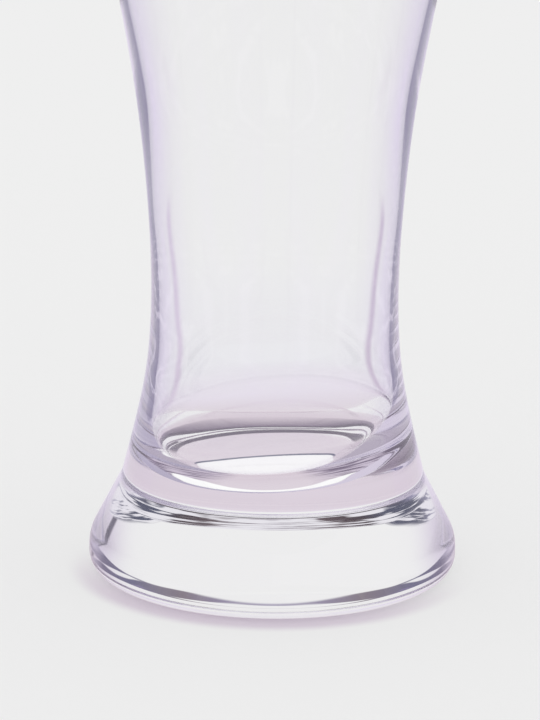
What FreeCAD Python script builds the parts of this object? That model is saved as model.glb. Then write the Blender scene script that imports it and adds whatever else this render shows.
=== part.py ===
"""Wheat-beer glass for half a litre: a tall thin-walled bowl with a narrow waist, on a solid foot.

Millimetres. Z is up and is the axis of the glass. The origin is the middle of the flat underside, on
which the glass stands. Both pieces are solids of revolution, and they meet face to face at the crease:

  foot   solid glass pad with a rounded edge, ground flat underneath
  bowl   the drinking vessel, from the weld on top of the foot up to the rounded rim
"""

import FreeCAD, Part
import os
from math import acos, asin, atan2, cos, degrees, radians, sin

# ---- Whole glass --------------------------------------------------------------------------------
HEIGHT = 240.0  # table to rim
WELD_HEIGHT = 19.2  # the crease, where bowl and foot are joined
WELD_RADIUS = 29.7

# ---- Foot ---------------------------------------------------------------------------------------
FOOT_RADIUS = 36.0  # widest circle
LOWER_ROUNDING = 3.7  # edge between side and table
UPPER_ROUNDING = 8.0  # shoulder between side and cone
SHOULDER_HEIGHT = 5.0  # where the shoulder starts to turn in

# ---- Bowl ---------------------------------------------------------------------------------------
FLOOR_HEIGHT = 20.0  # lowest point of the drinking space
FLOOR_RISE = 0.1  # how much higher the floor is where its corner starts
FLOOR_RADIUS = 15.0  # where the floor turns up into the wall
LIP_WALL = 1.3  # glass at the fire-rounded rim
LIP_RADIUS = 38.0  # outside, just below the rounding of the rim

# Outside of the bowl as (height, radius): weld, waist, swelling body, belly, mouth.
OUTSIDE = [
    (WELD_HEIGHT, WELD_RADIUS),
    (29.0, 27.3),
    (40.0, 25.1),
    (54.0, 24.1),
    (76.0, 25.0),
    (97.0, 27.45),
    (120.0, 31.6),
    (155.0, 37.7),
    (194.0, 41.2),
    (220.0, 40.2),
]

# Thickness of the wall, measured level, as (height, wall). The corner over the floor is thick and
# round, and the wall gathers a little where the body starts to swell.
WALL = [
    (20.8, 11.6),
    (22.2, 9.4),
    (25.2, 5.8),
    (28.5, 3.9),
    (32.0, 2.8),
    (36.0, 2.2),
    (42.0, 1.9),
    (50.0, 1.55),
    (60.0, 1.25),
    (72.0, 1.15),
    (82.0, 1.5),
    (92.0, 1.8),
    (103.0, 1.65),
    (120.0, 1.35),
    (155.0, 1.2),
    (194.0, 1.15),
    (220.0, 1.2),
]


def point(radius, height):
    """A point of the half section, which lies in the XZ plane."""
    return FreeCAD.Vector(radius, 0, height)


def along_circle(centre, radius, angle):
    """The point of a section's circle at an angle above the level."""
    turn = radians(angle)
    return centre + point(radius * cos(turn), radius * sin(turn))


def straight(start, end):
    return Part.makeLine(start, end)


def arc(centre, radius, first, last):
    """A circular edge of the section between two angles above the level."""
    angles = (first, (first + last) / 2, last)
    return Part.Arc(*(along_circle(centre, radius, a) for a in angles)).toShape()


def curve(points):
    """One smooth curve through the points."""
    spline = Part.BSplineCurve()
    spline.interpolate(points)
    return spline


def turned(edges):
    """The solid that the closed half section sweeps round the axis."""
    face = Part.Face(Part.Wire(edges))
    return face.revolve(FreeCAD.Vector(), FreeCAD.Vector(0, 0, 1), 360)


def radius_at(section_curve, height):
    level = Part.LineSegment(point(0, height), point(2 * FOOT_RADIUS, height))
    return section_curve.intersect(level)[0].X


def make_foot():
    """Solid pad: weld face, cone, shoulder, side, lower rounding and flat underside."""
    weld_edge = point(WELD_RADIUS, WELD_HEIGHT)
    shoulder = point(FOOT_RADIUS - UPPER_ROUNDING, SHOULDER_HEIGHT)
    lower = point(FOOT_RADIUS - LOWER_ROUNDING, LOWER_ROUNDING)

    # The cone leaves the weld and meets the shoulder at a tangent.
    away = weld_edge - shoulder
    cone_turn = degrees(atan2(away.z, away.x) - acos(UPPER_ROUNDING / away.Length))
    cone_end = along_circle(shoulder, UPPER_ROUNDING, cone_turn)

    return turned(
        [
            straight(point(0, WELD_HEIGHT), weld_edge),
            straight(weld_edge, cone_end),
            arc(shoulder, UPPER_ROUNDING, cone_turn, 0),
            straight(point(FOOT_RADIUS, SHOULDER_HEIGHT), point(FOOT_RADIUS, LOWER_ROUNDING)),
            arc(lower, LOWER_ROUNDING, 0, -90),
            straight(point(FOOT_RADIUS - LOWER_ROUNDING, 0), point(0, 0)),
            straight(point(0, 0), point(0, WELD_HEIGHT)),
        ]
    )


def make_bowl():
    """Vessel: outside, rounded rim, inside wall and gently dished floor over the weld face."""
    lip_height = HEIGHT - LIP_WALL / 2
    outside = curve([point(r, z) for z, r in OUTSIDE] + [point(LIP_RADIUS, lip_height)])
    floor_edge = point(FLOOR_RADIUS, FLOOR_HEIGHT + FLOOR_RISE)
    inside = curve(
        [floor_edge]
        + [point(radius_at(outside, z) - wall, z) for z, wall in WALL]
        + [point(LIP_RADIUS - LIP_WALL, lip_height)]
    )
    dish_radius = (FLOOR_RADIUS**2 + FLOOR_RISE**2) / (2 * FLOOR_RISE)
    dish = point(0, FLOOR_HEIGHT + dish_radius)
    dish_turn = degrees(asin(FLOOR_RADIUS / dish_radius)) - 90

    return turned(
        [
            straight(point(0, WELD_HEIGHT), point(WELD_RADIUS, WELD_HEIGHT)),
            outside.toShape(),
            arc(point(LIP_RADIUS - LIP_WALL / 2, lip_height), LIP_WALL / 2, 0, 180),
            inside.toShape(),
            arc(dish, dish_radius, dish_turn, -90),
            straight(point(0, FLOOR_HEIGHT), point(0, WELD_HEIGHT)),
        ]
    )


PIECES = {"foot": make_foot, "bowl": make_bowl}

os.makedirs("parts", exist_ok=True)
for node, make in PIECES.items():
    make().exportStep(f"parts/{node}.step")
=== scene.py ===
"""A half-litre wheat-beer glass of clear soda-lime glass, standing on a pale table in soft studio light.

Lengths are millimetres until lathe() turns them into Blender's metres. Z is up and is the axis of the glass.
Table and surroundings are plain and pale to the eye. Only light that reaches the eye through the glass meets
painted shade and painted light, standing for what a studio has round its white sweep, such as dark gaps and
the far edge of the table.
"""

from math import acos, asin, atan2, cos, degrees, hypot, pi, radians, sin

import bpy
import numpy as np
from mathutils import Matrix, Vector


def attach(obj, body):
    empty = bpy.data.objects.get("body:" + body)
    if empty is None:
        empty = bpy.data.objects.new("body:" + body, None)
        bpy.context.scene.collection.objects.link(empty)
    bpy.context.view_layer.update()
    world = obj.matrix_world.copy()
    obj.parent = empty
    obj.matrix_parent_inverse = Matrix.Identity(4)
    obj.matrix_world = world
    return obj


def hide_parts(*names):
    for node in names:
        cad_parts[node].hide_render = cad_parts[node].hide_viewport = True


MM = 0.001

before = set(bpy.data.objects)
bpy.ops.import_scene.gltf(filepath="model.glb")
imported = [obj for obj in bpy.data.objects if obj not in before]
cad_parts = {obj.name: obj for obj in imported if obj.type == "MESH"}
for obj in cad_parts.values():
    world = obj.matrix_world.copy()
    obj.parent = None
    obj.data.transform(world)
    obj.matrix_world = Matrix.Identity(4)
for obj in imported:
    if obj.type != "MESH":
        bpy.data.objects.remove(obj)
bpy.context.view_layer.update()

# ---- Sizes of the glass, as in the CAD part -----------------------------------------------------
HEIGHT = 240.0
WELD_HEIGHT = 19.2  # the crease between bowl and foot
WELD_RADIUS = 29.7

FOOT_RADIUS = 36.0
LOWER_ROUNDING = 3.7
UPPER_ROUNDING = 8.0
SHOULDER_HEIGHT = 5.0

FLOOR_HEIGHT = 20.0
FLOOR_RISE = 0.1
FLOOR_RADIUS = 15.0
LIP_WALL = 1.3
LIP_RADIUS = 38.0

# Outside of the bowl as (height, radius).
OUTSIDE = [
    (WELD_HEIGHT, WELD_RADIUS),
    (29.0, 27.3),
    (40.0, 25.1),
    (54.0, 24.1),
    (76.0, 25.0),
    (97.0, 27.45),
    (120.0, 31.6),
    (155.0, 37.7),
    (194.0, 41.2),
    (220.0, 40.2),
]
# Wall of the bowl, measured level, as (height, thickness).
WALL = [
    (20.8, 11.6),
    (22.2, 9.4),
    (25.2, 5.8),
    (28.5, 3.9),
    (32.0, 2.8),
    (36.0, 2.2),
    (42.0, 1.9),
    (50.0, 1.55),
    (60.0, 1.25),
    (72.0, 1.15),
    (82.0, 1.5),
    (92.0, 1.8),
    (103.0, 1.65),
    (120.0, 1.35),
    (155.0, 1.2),
    (194.0, 1.15),
    (220.0, 1.2),
]
SPACING = 1.2  # of the section's points along its curves
SIDES = 200  # straight sides of the lathed round

# Blown glass is never quite true: the inner floor sits a little to one side and leans.
FLOOR_SHIFT = -1.5
FLOOR_SLOPE = 0.025
LEAN_BELOW = 22.0  # full lean up to here, none from LEAN_ABOVE upwards
LEAN_ABOVE = 36.0

AIR_GAP = 0.05  # between the ground underside and the table

# Cords lie round the glass: about 9 mm apart going up, and 30 mm long. They are 0.002 mm high.
CORD_SCALE = (1 / (30 * MM), 1 / (30 * MM), 1 / (9 * MM))
CORD_HEIGHT = 0.002 * MM

PALE = "#EFEFEF"  # table and sweep
WHITE = "#FFFFFF"
GLASS_INDEX = 1.52  # of refraction, for soda-lime glass
TABLE_HALF = 3000.0
BOUNCES = 96  # light runs a long way round inside the wall before it leaves


def spline(stations):
    """Points along the natural cubic curve through the (radius, height) stations."""
    knots = np.array(stations, float)
    chord = np.hypot(*np.diff(knots, axis=0).T)
    size = len(knots)
    bend_matrix = np.eye(size)
    rise = np.zeros((size, 2))
    for i in range(1, size - 1):
        before, after = chord[i - 1], chord[i]
        bend_matrix[i, i - 1 : i + 2] = before, 2 * (before + after), after
        rise[i] = 6 * ((knots[i + 1] - knots[i]) / after - (knots[i] - knots[i - 1]) / before)
    bend = np.linalg.solve(bend_matrix, rise)
    points = []
    for i in range(size - 1):
        steps = max(3, round(chord[i] / SPACING))
        for t in np.arange(steps) / steps:
            s = 1 - t
            pull = (s**3 - s) * bend[i] + (t**3 - t) * bend[i + 1]
            points.append(tuple(s * knots[i] + t * knots[i + 1] + pull * chord[i] ** 2 / 6))
    return points + [tuple(knots[-1])]


def arc(centre, radius, first, last, steps):
    """Points of a circle of the section between two angles in degrees above the level."""
    turns = [radians(first + (last - first) * i / steps) for i in range(steps + 1)]
    return [(centre[0] + radius * cos(a), centre[1] + radius * sin(a)) for a in turns]


def radius_at(points, height):
    """Radius of a rising run of section points at a height."""
    radii, heights = zip(*points)
    return float(np.interp(height, heights, radii))


def foot_section():
    """From the middle of the flat underside round the foot's edge to just below the crease."""
    shoulder = (FOOT_RADIUS - UPPER_ROUNDING, SHOULDER_HEIGHT)
    lower = (FOOT_RADIUS - LOWER_ROUNDING, LOWER_ROUNDING)
    away = (WELD_RADIUS - shoulder[0], WELD_HEIGHT - shoulder[1])
    cone_turn = degrees(atan2(away[1], away[0]) - acos(UPPER_ROUNDING / hypot(*away)))
    underside = [(radius, 0.0) for radius in np.linspace(0, lower[0], 8)[:-1]]
    edge = arc(lower, LOWER_ROUNDING, -90, 0, 14)
    side = arc(shoulder, UPPER_ROUNDING, 0, cone_turn, 12)
    cone = [tuple(p) for p in np.linspace(side[-1], (WELD_RADIUS, WELD_HEIGHT), 9)[1:-1]]
    return underside + edge + side + cone


def bowl_section():
    """From the crease up the outside, over the rim and down the inside to the middle of the floor."""
    lip_height = HEIGHT - LIP_WALL / 2
    outside = spline([(r, z) for z, r in OUTSIDE] + [(LIP_RADIUS, lip_height)])
    lip = arc((LIP_RADIUS - LIP_WALL / 2, lip_height), LIP_WALL / 2, 0, 180, 12)
    inside = spline(
        [(FLOOR_RADIUS, FLOOR_HEIGHT + FLOOR_RISE)]
        + [(radius_at(outside, z) - wall, z) for z, wall in WALL]
        + [(LIP_RADIUS - LIP_WALL, lip_height)]
    )
    dish_radius = (FLOOR_RADIUS**2 + FLOOR_RISE**2) / (2 * FLOOR_RISE)
    dish_turn = degrees(asin(FLOOR_RADIUS / dish_radius)) - 90
    floor = arc((0, FLOOR_HEIGHT + dish_radius), dish_radius, dish_turn, -90, 12)
    return outside[:-1], lip + inside[-2:0:-1] + floor


def lean(x, height):
    """Where the inner floor really is: its sideways shift and its rise at a point."""
    share = min(max((LEAN_ABOVE - height) / (LEAN_ABOVE - LEAN_BELOW), 0), 1)
    eased = share * share * (3 - 2 * share)
    return FLOOR_SHIFT * eased, FLOOR_SLOPE * x * eased


def lathe(name, outer, inner):
    """A closed smooth mesh: the section swept round the axis, its inner half with the lean."""
    section = outer + inner
    points = []
    for k, (radius, height) in enumerate(section):
        whole_ring = 0 < k < len(section) - 1
        for turn in np.arange(SIDES if whole_ring else 1) * 2 * pi / SIDES:
            x, y = radius * cos(turn), radius * sin(turn)
            shift, rise = lean(x, height) if k >= len(outer) else (0, 0)
            points.append(((x + shift) * MM, y * MM, (height + rise) * MM))
    last = len(points) - 1
    top = last - SIDES
    faces = []
    for i in range(SIDES):
        j = (i + 1) % SIDES
        faces.append((0, 1 + j, 1 + i))
        for low in range(1, top, SIDES):
            high = low + SIDES
            faces.append((low + i, low + j, high + j, high + i))
        faces.append((top + i, top + j, last))
    mesh = bpy.data.meshes.new(name)
    mesh.from_pydata(points, [], faces)
    mesh.shade_smooth()
    piece = bpy.data.objects.new(name, mesh)
    bpy.context.scene.collection.objects.link(piece)
    return piece


def linear(code):
    """An sRGB hex colour as the linear RGBA that Blender's sockets take."""
    parts = [int(code[i : i + 2], 16) / 255 for i in (1, 3, 5)]
    return [c / 12.92 if c <= 0.04045 else ((c + 0.055) / 1.055) ** 2.4 for c in parts] + [1]


def add(tree, kind, feeds=(), **settings):
    """Adds a node. Feeds fill its open inputs, in order or by name, from numbers, colours or nodes."""
    node = tree.nodes.new(kind)
    for name, value in settings.items():
        setattr(node, name, value)
    inputs = [socket for socket in node.inputs if socket.enabled]
    pairs = feeds.items() if isinstance(feeds, dict) else enumerate(feeds)
    for place, value in pairs:
        socket = inputs[place] if isinstance(place, int) else next(s for s in inputs if s.name == place)
        if isinstance(value, bpy.types.Node):
            value = next(s for s in value.outputs if s.enabled)
        if isinstance(value, bpy.types.NodeSocket):
            tree.links.new(value, socket)
        else:
            socket.default_value = linear(value) if isinstance(value, str) else value
    return node


def total(tree, offset, *terms):
    """The offset plus each value times its factor."""
    for value, factor in terms:
        offset = add(tree, "ShaderNodeMath", [value, factor, offset], operation="MULTIPLY_ADD")
    return offset


def product(tree, *values):
    """The values times each other: a mask where all of them hold."""
    result = values[0]
    for value in values[1:]:
        result = add(tree, "ShaderNodeMath", [result, value], operation="MULTIPLY")
    return result


def zone(tree, value, rise=None, fall=None):
    """A mask that fades in over the rise and out over the fall, each (start, end) in the value's unit."""
    masks = []
    for span, ends in ((rise, (0.0, 1.0)), (fall, (1.0, 0.0))):
        if span:
            feeds = [value, *span, *ends]
            masks.append(add(tree, "ShaderNodeMapRange", feeds, interpolation_type="SMOOTHSTEP"))
    return product(tree, *masks)


def graded(tree, value, stops):
    """The colour at a value, from (value, colour) stops that start at 0."""
    span = stops[-1][0]
    ramp = add(tree, "ShaderNodeValToRGB", [total(tree, 0.0, (value, 1 / span))])
    marks = ramp.color_ramp.elements
    marks.remove(marks[1])
    for at, colour in stops:
        mark = marks.new(at / span) if at else marks[0]
        mark.color = linear(colour)
    return ramp


def painted(tree, base, *coats):
    """The base colour with (mask, colour) coats laid over it in turn."""
    for mask, colour in coats:
        base = add(tree, "ShaderNodeMix", {"Factor": mask, "A": base, "B": colour}, data_type="RGBA")
    return base


def clear_glass():
    """Soda-lime glass, blown and pressed, then fire-polished: colourless, bright and perfectly smooth.

    Its even surface and high gloss give sharp reflections. Faint cords, left where the melt was
    stirred, make the bent light waver. Seen edge-on, its colour is painted a trace violet: a painted
    edge shade for the long way through the wall.
    """
    material = bpy.data.materials.new("soda_lime_glass")
    material.use_nodes = True
    tree = material.node_tree
    tree.nodes.clear()
    # Painted edge shade: where the glass is seen edge-on, its colour turns a trace violet.
    edge_on = add(tree, "ShaderNodeLayerWeight", {"Blend": 0.5}).outputs["Facing"]
    colour = painted(tree, WHITE, (zone(tree, edge_on, rise=(0.25, 0.6)), "#F8F5FC"))
    place = add(tree, "ShaderNodeTexCoord").outputs["Object"]
    stretched = add(tree, "ShaderNodeVectorMath", [place, CORD_SCALE], operation="MULTIPLY")
    cords = add(tree, "ShaderNodeTexNoise", {"Vector": stretched, "Scale": 1.0, "Detail": 1.0})
    ripple = add(tree, "ShaderNodeBump", {"Strength": 1.0, "Distance": CORD_HEIGHT, "Height": cords})
    surface = add(
        tree,
        "ShaderNodeBsdfPrincipled",
        {
            "Base Color": colour,
            "Roughness": 0.0,
            "IOR": GLASS_INDEX,
            "Transmission Weight": 1.0,
            "Normal": ripple,
        },
    )
    add(tree, "ShaderNodeOutputMaterial", {"Surface": surface})
    return material


def light_path(tree):
    """Masks for how light came to the eye.

    straight  past the glass
    bent      by way of the glass
    deep      thrown back inside it
    in_wall   through two surfaces and thrown back between them
    again     as in_wall, and thrown back more than once
    """
    path = add(tree, "ShaderNodeLightPath").outputs
    by_glass = [path["Is Glossy Ray"], path["Is Transmission Ray"]]
    bent = add(tree, "ShaderNodeMath", by_glass, operation="MAXIMUM")
    went_in = add(tree, "ShaderNodeMath", [path["Transmission Depth"], 0.5], operation="GREATER_THAN")
    one_wall = add(tree, "ShaderNodeMath", [path["Transmission Depth"], 2.0, 0.5], operation="COMPARE")
    thrown_back = add(tree, "ShaderNodeMath", [path["Glossy Depth"], 0.5], operation="GREATER_THAN")
    again = add(tree, "ShaderNodeMath", [path["Glossy Depth"], 1.5], operation="GREATER_THAN")
    return {
        "straight": path["Is Camera Ray"],
        "bent": bent,
        "deep": product(tree, bent, went_in, thrown_back),
        "in_wall": product(tree, bent, one_wall, thrown_back),
        "again": product(tree, bent, one_wall, again),
    }


def surroundings():
    """White sweep all round. Light thrown back inside the foot meets painted shade beyond the sweep."""
    world = bpy.data.worlds.new("studio")
    bpy.context.scene.world = world
    world.use_nodes = True
    tree = world.node_tree
    tree.nodes.clear()
    came = light_path(tree)

    # Ways in degrees: turn round the glass, aside from the nearest of two axes, and above the level.
    way = add(tree, "ShaderNodeTexCoord").outputs["Generated"]
    axes = add(tree, "ShaderNodeSeparateXYZ", [way]).outputs
    turn = add(tree, "ShaderNodeMath", [axes["X"], axes["Y"]], operation="ARCTAN2")
    turn = add(tree, "ShaderNodeMath", [turn], operation="DEGREES")
    aside = add(tree, "ShaderNodeMath", [turn, 90.0], operation="PINGPONG")
    above = add(tree, "ShaderNodeMath", [axes["Z"]], operation="ARCSINE")
    above = add(tree, "ShaderNodeMath", [above], operation="DEGREES")

    # Painted shade: a dark band to one side, standing for the edge of a screen.
    bulge = total(tree, -6.0, (above, 1.0))
    past_dark_edge = total(tree, -71.0, (turn, 1.0), (product(tree, bulge, bulge), 0.1))
    dark_edge_width = zone(tree, past_dark_edge, (-3.6, -1.2), (1.6, 3.6))
    painted_dark_edge = product(tree, dark_edge_width, zone(tree, above, rise=(3, 6)))

    # Painted shade: fine level streaks, dark and light, standing for dark gaps and lamps above the sweep.
    # They crowd together at its edge.
    edge = total(tree, 19.6, (zone(tree, aside, rise=(12, 34)), -1.1))
    over_edge = total(tree, 0.0, (above, 1.0), (edge, -1.0))
    crowded = add(tree, "ShaderNodeMath", [total(tree, 0.35, (over_edge, 1.0)), 2.0], operation="LOGARITHM")
    along = [total(tree, 0.0, (axes[axis], 2.2)) for axis in ("X", "Y")]
    streak_place = add(tree, "ShaderNodeCombineXYZ", [*along, total(tree, 0.0, (crowded, 1.5))])
    noise = {"Vector": streak_place, "Scale": 1.0, "Detail": 3.0, "Roughness": 0.65}
    streaks = add(tree, "ShaderNodeTexNoise", noise)
    brown_part = zone(tree, aside, rise=(10, 18), fall=(24, 30))
    blue_part = zone(tree, aside, rise=(32, 38), fall=(50, 60))
    darkness = total(tree, -0.55, (streaks, 1.0), (brown_part, 0.09), (blue_part, 0.10))
    streak_shades = graded(
        tree,
        aside,
        [
            (0, "#8C8490"),
            (14, "#54444A"),
            (24, "#3A2C34"),
            (32, "#444860"),
            (48, "#383C56"),
            (60, "#8480A0"),
        ],
    )
    ahead = zone(tree, aside, fall=(60, 68))
    clear_of_edge = zone(tree, over_edge, rise=(-0.15, 0.25))
    high_part = product(tree, ahead, clear_of_edge, zone(tree, above, fall=(43, 45)))
    # Painted shade: a dark band higher up, standing for a dark gap.
    gap_shade = product(tree, zone(tree, aside, fall=(40, 50)), zone(tree, above, (34.5, 36), (43, 45)))

    # Painted shade: a darker strip at the horizon, where the sweep meets the table.
    dip = zone(tree, aside, rise=(18, 32), fall=(38, 50))
    strip_top = total(tree, 3.1, (dip, -1.3), (zone(tree, aside, rise=(45, 60)), 2.6))
    strip_foot = total(tree, 2.7, (zone(tree, aside, rise=(6, 30)), -3.4))
    over_top = total(tree, 0.0, (above, 1.0), (strip_top, -1.0))
    over_foot = total(tree, 0.0, (above, 1.0), (strip_foot, -1.0))
    strip = product(tree, zone(tree, over_top, fall=(-0.3, 0.3)), zone(tree, over_foot, rise=(-0.3, 0.3)))
    strip_shade = graded(
        tree,
        aside,
        [
            (0, "#9088A6"),
            (10, "#8E869E"),
            (20, "#807680"),
            (38, "#666682"),
            (56, "#5C5672"),
            (72, "#B8B0C4"),
        ],
    )
    # Painted shade: light thrown back more than once inside the glass sees grey-lilac.
    twice_shade = painted(tree, "#D2C9DC", (zone(tree, turn, rise=(-20, 20)), "#B0A8C0"))
    # Painted shade, seen only by light thrown back inside the wall: lilac to the sides, the dark edge, the
    # streaks, the gap and the strip.
    shades = painted(
        tree,
        PALE,
        (zone(tree, aside, rise=(38, 64)), "#D6CEDC"),
        (painted_dark_edge, "#4C445C"),
        (zone(tree, aside, rise=(76, 86)), "#A8A0B4"),
        (high_part, "#E8E6EC"),
        (product(tree, high_part, zone(tree, darkness, rise=(-0.05, 0.05))), streak_shades),
        (gap_shade, "#4E4450"),
        (strip, strip_shade),
        (came["again"], twice_shade),
    )
    seen = add(tree, "ShaderNodeMath", [came["straight"], came["bent"]], operation="MAXIMUM")
    colour = painted(tree, WHITE, (seen, PALE), (came["in_wall"], shades))
    back = add(tree, "ShaderNodeBackground", {"Color": colour})
    add(tree, "ShaderNodeOutputWorld", {"Surface": back})


def table():
    """Matt white laminate, plain and pale to the eye. Light that comes through the glass meets painted light
    and shade on it.

    Through the foot it shows a painted bright patch below the drinking space, and through the wall a painted
    darker table further off. Both are places on the table, in millimetres from the axis.
    """
    reach = TABLE_HALF * MM
    corners = [(x * reach, y * reach, -AIR_GAP * MM) for x, y in ((-1, -1), (1, -1), (1, 1), (-1, 1))]
    mesh = bpy.data.meshes.new("table")
    mesh.from_pydata(corners, [], [(0, 1, 2, 3)])
    top = bpy.data.objects.new("table", mesh)
    bpy.context.scene.collection.objects.link(top)
    material = bpy.data.materials.new("white_laminate")
    material.use_nodes = True
    tree = material.node_tree
    tree.nodes.clear()
    came = light_path(tree)

    metres = add(tree, "ShaderNodeNewGeometry").outputs["Position"]
    place = add(tree, "ShaderNodeVectorMath", [metres, (1 / MM, 1 / MM, 0.0)], operation="MULTIPLY")
    axes = add(tree, "ShaderNodeSeparateXYZ", [place]).outputs
    out = add(tree, "ShaderNodeVectorMath", [place], operation="LENGTH").outputs["Value"]
    sideways = add(tree, "ShaderNodeMath", [axes["X"]], operation="ABSOLUTE")
    onward = add(tree, "ShaderNodeMath", [axes["Y"]], operation="ABSOLUTE")
    lesser = add(tree, "ShaderNodeMath", [sideways, onward], operation="MINIMUM")
    greater = add(tree, "ShaderNodeMath", [sideways, onward], operation="MAXIMUM")

    # Painted light: a bright patch seen through the drinking space. It ends in a shallow bow with a painted
    # dark shade along its far edge.
    clear = total(tree, 0.0, (came["bent"], 1.0), (came["deep"], -1.0))
    onward_of_bow = total(tree, 11.0, (axes["Y"], 1.0))
    bow_place = add(tree, "ShaderNodeCombineXYZ", [total(tree, 0.0, (axes["X"], 0.85)), onward_of_bow])
    from_bow = add(tree, "ShaderNodeVectorMath", [bow_place], operation="LENGTH").outputs["Value"]
    bow_width = zone(tree, from_bow, (19.7, 20.5), (21.0, 21.8))
    bow = product(tree, clear, bow_width, zone(tree, onward_of_bow, rise=(6, 12)))
    patch = product(tree, clear, zone(tree, from_bow, fall=(19.8, 20.5)))

    # Painted light: thrown back inside the foot, the bright patch is a smaller oval.
    across = total(tree, 0.8, (axes["X"], 0.54))
    along = total(tree, -3.0, (axes["Y"], 1.0), (axes["X"], -0.10))
    oval = add(tree, "ShaderNodeCombineXYZ", [across, along])
    from_middle = add(tree, "ShaderNodeVectorMath", [oval], operation="LENGTH").outputs["Value"]
    oval_light = product(tree, came["deep"], zone(tree, from_middle, fall=(10.5, 11.2)))

    # Shade under the far side of the foot, darkest below its rounded edge.
    behind = zone(tree, axes["Y"], rise=(4, 14))
    far_shade = product(tree, behind, came["deep"], zone(tree, out, (27, 33.5), (36, 46)))
    far_line = product(tree, behind, came["bent"], zone(tree, out, (32.5, 34), (37.5, 39.5)))

    # Painted shade: under the sides of the foot, dark and pale arcs lie round the axis.
    at_sides = zone(tree, sideways, rise=(10, 22))
    under_sides_shade = product(tree, came["in_wall"], at_sides, zone(tree, out, fall=(37, 46)))
    stretches = (out, 0.5), (axes["X"], 0.05), (axes["Y"], 0.05)
    arc_place = add(tree, "ShaderNodeCombineXYZ", [total(tree, 0.0, pair) for pair in stretches])
    arcs = add(tree, "ShaderNodeTexNoise", {"Vector": arc_place, "Scale": 1.0})
    arc_shades = painted(tree, "#74667E", (zone(tree, arcs, rise=(0.42, 0.6)), "#C8BCCE"))

    # Painted shade: seen through the bowl, a soft line lies near each side, and the table is painted a
    # little violet beyond it.
    line_place = total(tree, 20.0, (greater, 0.11))
    past_line = add(tree, "ShaderNodeMath", [lesser, line_place], operation="DIVIDE")
    line_colour = painted(tree, "#DACEE0", (zone(tree, axes["X"], rise=(-10, 10)), "#CBBDD1"))
    line_width = zone(tree, past_line, (0.88, 1.0), (1.0, 1.12))
    line = product(tree, line_width, zone(tree, out, (50, 65), (280, 400)))
    beyond = product(tree, zone(tree, past_line, (0.9, 2.2), (2.4, 3.4)), zone(tree, out, rise=(50, 65)))

    # Painted shade: thrown back by the wall, the table shows in uneven dark and pale rings 9 mm wide,
    # standing for a wall that is a little wavy.
    ring_place = add(tree, "ShaderNodeCombineXYZ", [total(tree, 0.0, (out, 1 / 9)), past_line])
    rings = add(tree, "ShaderNodeTexNoise", {"Vector": ring_place, "Scale": 1.0, "Detail": 2.0})
    pale_ring = product(tree, zone(tree, rings, rise=(0.52, 0.62)), zone(tree, out, fall=(160, 300)))
    wall_shade = painted(tree, "#7E7698", (pale_ring, "#C6BED4"))

    # Painted shade seen through the glass: the table is lilac-grey near the foot, paling outwards.
    shades = graded(
        tree,
        out,
        [
            (0, "#DCD2DC"),
            (36, "#D6C9D4"),
            (68, "#E7E0EC"),
            (110, "#ECECF0"),
            (220, PALE),
        ],
    )
    shades = painted(
        tree,
        shades,
        (beyond, "#F1EAF9"),
        (line, line_colour),
        (product(tree, came["in_wall"], zone(tree, out, rise=(56, 80))), wall_shade),
        (under_sides_shade, arc_shades),
        (product(tree, came["again"], zone(tree, out, fall=(40, 60))), "#B0A6B8"),
        (bow, "#3C4068"),
        (oval_light, WHITE),
        (patch, WHITE),
        (far_shade, "#84768A"),
        (far_line, "#5C5064"),
    )

    # A faint violet shade lies close round the foot, most of it towards the eye and the left.
    towards = total(tree, 0.0, (axes["X"], -0.25), (axes["Y"], -1.0))
    contact = product(tree, zone(tree, out, fall=(36.5, 41)), zone(tree, towards, rise=(-5, 35)))
    pale = painted(tree, PALE, (contact, "#D2C4D4"))
    lit = add(tree, "ShaderNodeBsdfDiffuse", {"Color": PALE})
    # Through the glass the table glows with the painted light and shade. To the eye it is mostly glow and
    # partly lit.
    glow = add(tree, "ShaderNodeEmission", {"Color": painted(tree, pale, (came["bent"], shades))})
    share = total(tree, 0.0, (came["straight"], 0.7), (came["bent"], 1.0))
    surface = add(tree, "ShaderNodeMixShader", [share, lit, glow])
    add(tree, "ShaderNodeOutputMaterial", {"Surface": surface})
    mesh.materials.append(material)


def camera():
    """The photo's view: 16 degrees down on the foot and the lower half of the bowl."""
    distance = 1100 * MM
    pitch = radians(15.92)
    roll = radians(0.58)
    target = Vector((-0.815, 0, 42.22)) * MM
    forward = Vector((0, cos(pitch), -sin(pitch)))
    right = Vector((1, 0, 0))
    up = right.cross(forward)
    x = right * cos(roll) + up * sin(roll)
    y = up * cos(roll) - right * sin(roll)
    eye = target - forward * distance
    data = bpy.data.cameras.new("camera")
    data.lens = 281.8
    data.sensor_width = 36
    view = bpy.data.objects.new("camera", data)
    view.matrix_world = Matrix(
        [
            [x.x, y.x, -forward.x, eye.x],
            [x.y, y.y, -forward.y, eye.y],
            [x.z, y.z, -forward.z, eye.z],
            [0, 0, 0, 1],
        ]
    )
    bpy.context.scene.collection.objects.link(view)
    bpy.context.scene.camera = view


outer_half, inner_half = bowl_section()
glass = lathe("glass", foot_section() + outer_half, inner_half)
glass.data.materials.append(clear_glass())
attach(glass, "root")
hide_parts("bowl", "foot")
surroundings()
table()
camera()

scene = bpy.context.scene
scene.view_settings.view_transform = "Standard"
scene.cycles.max_bounces = BOUNCES
scene.cycles.transmission_bounces = BOUNCES
scene.cycles.glossy_bounces = BOUNCES
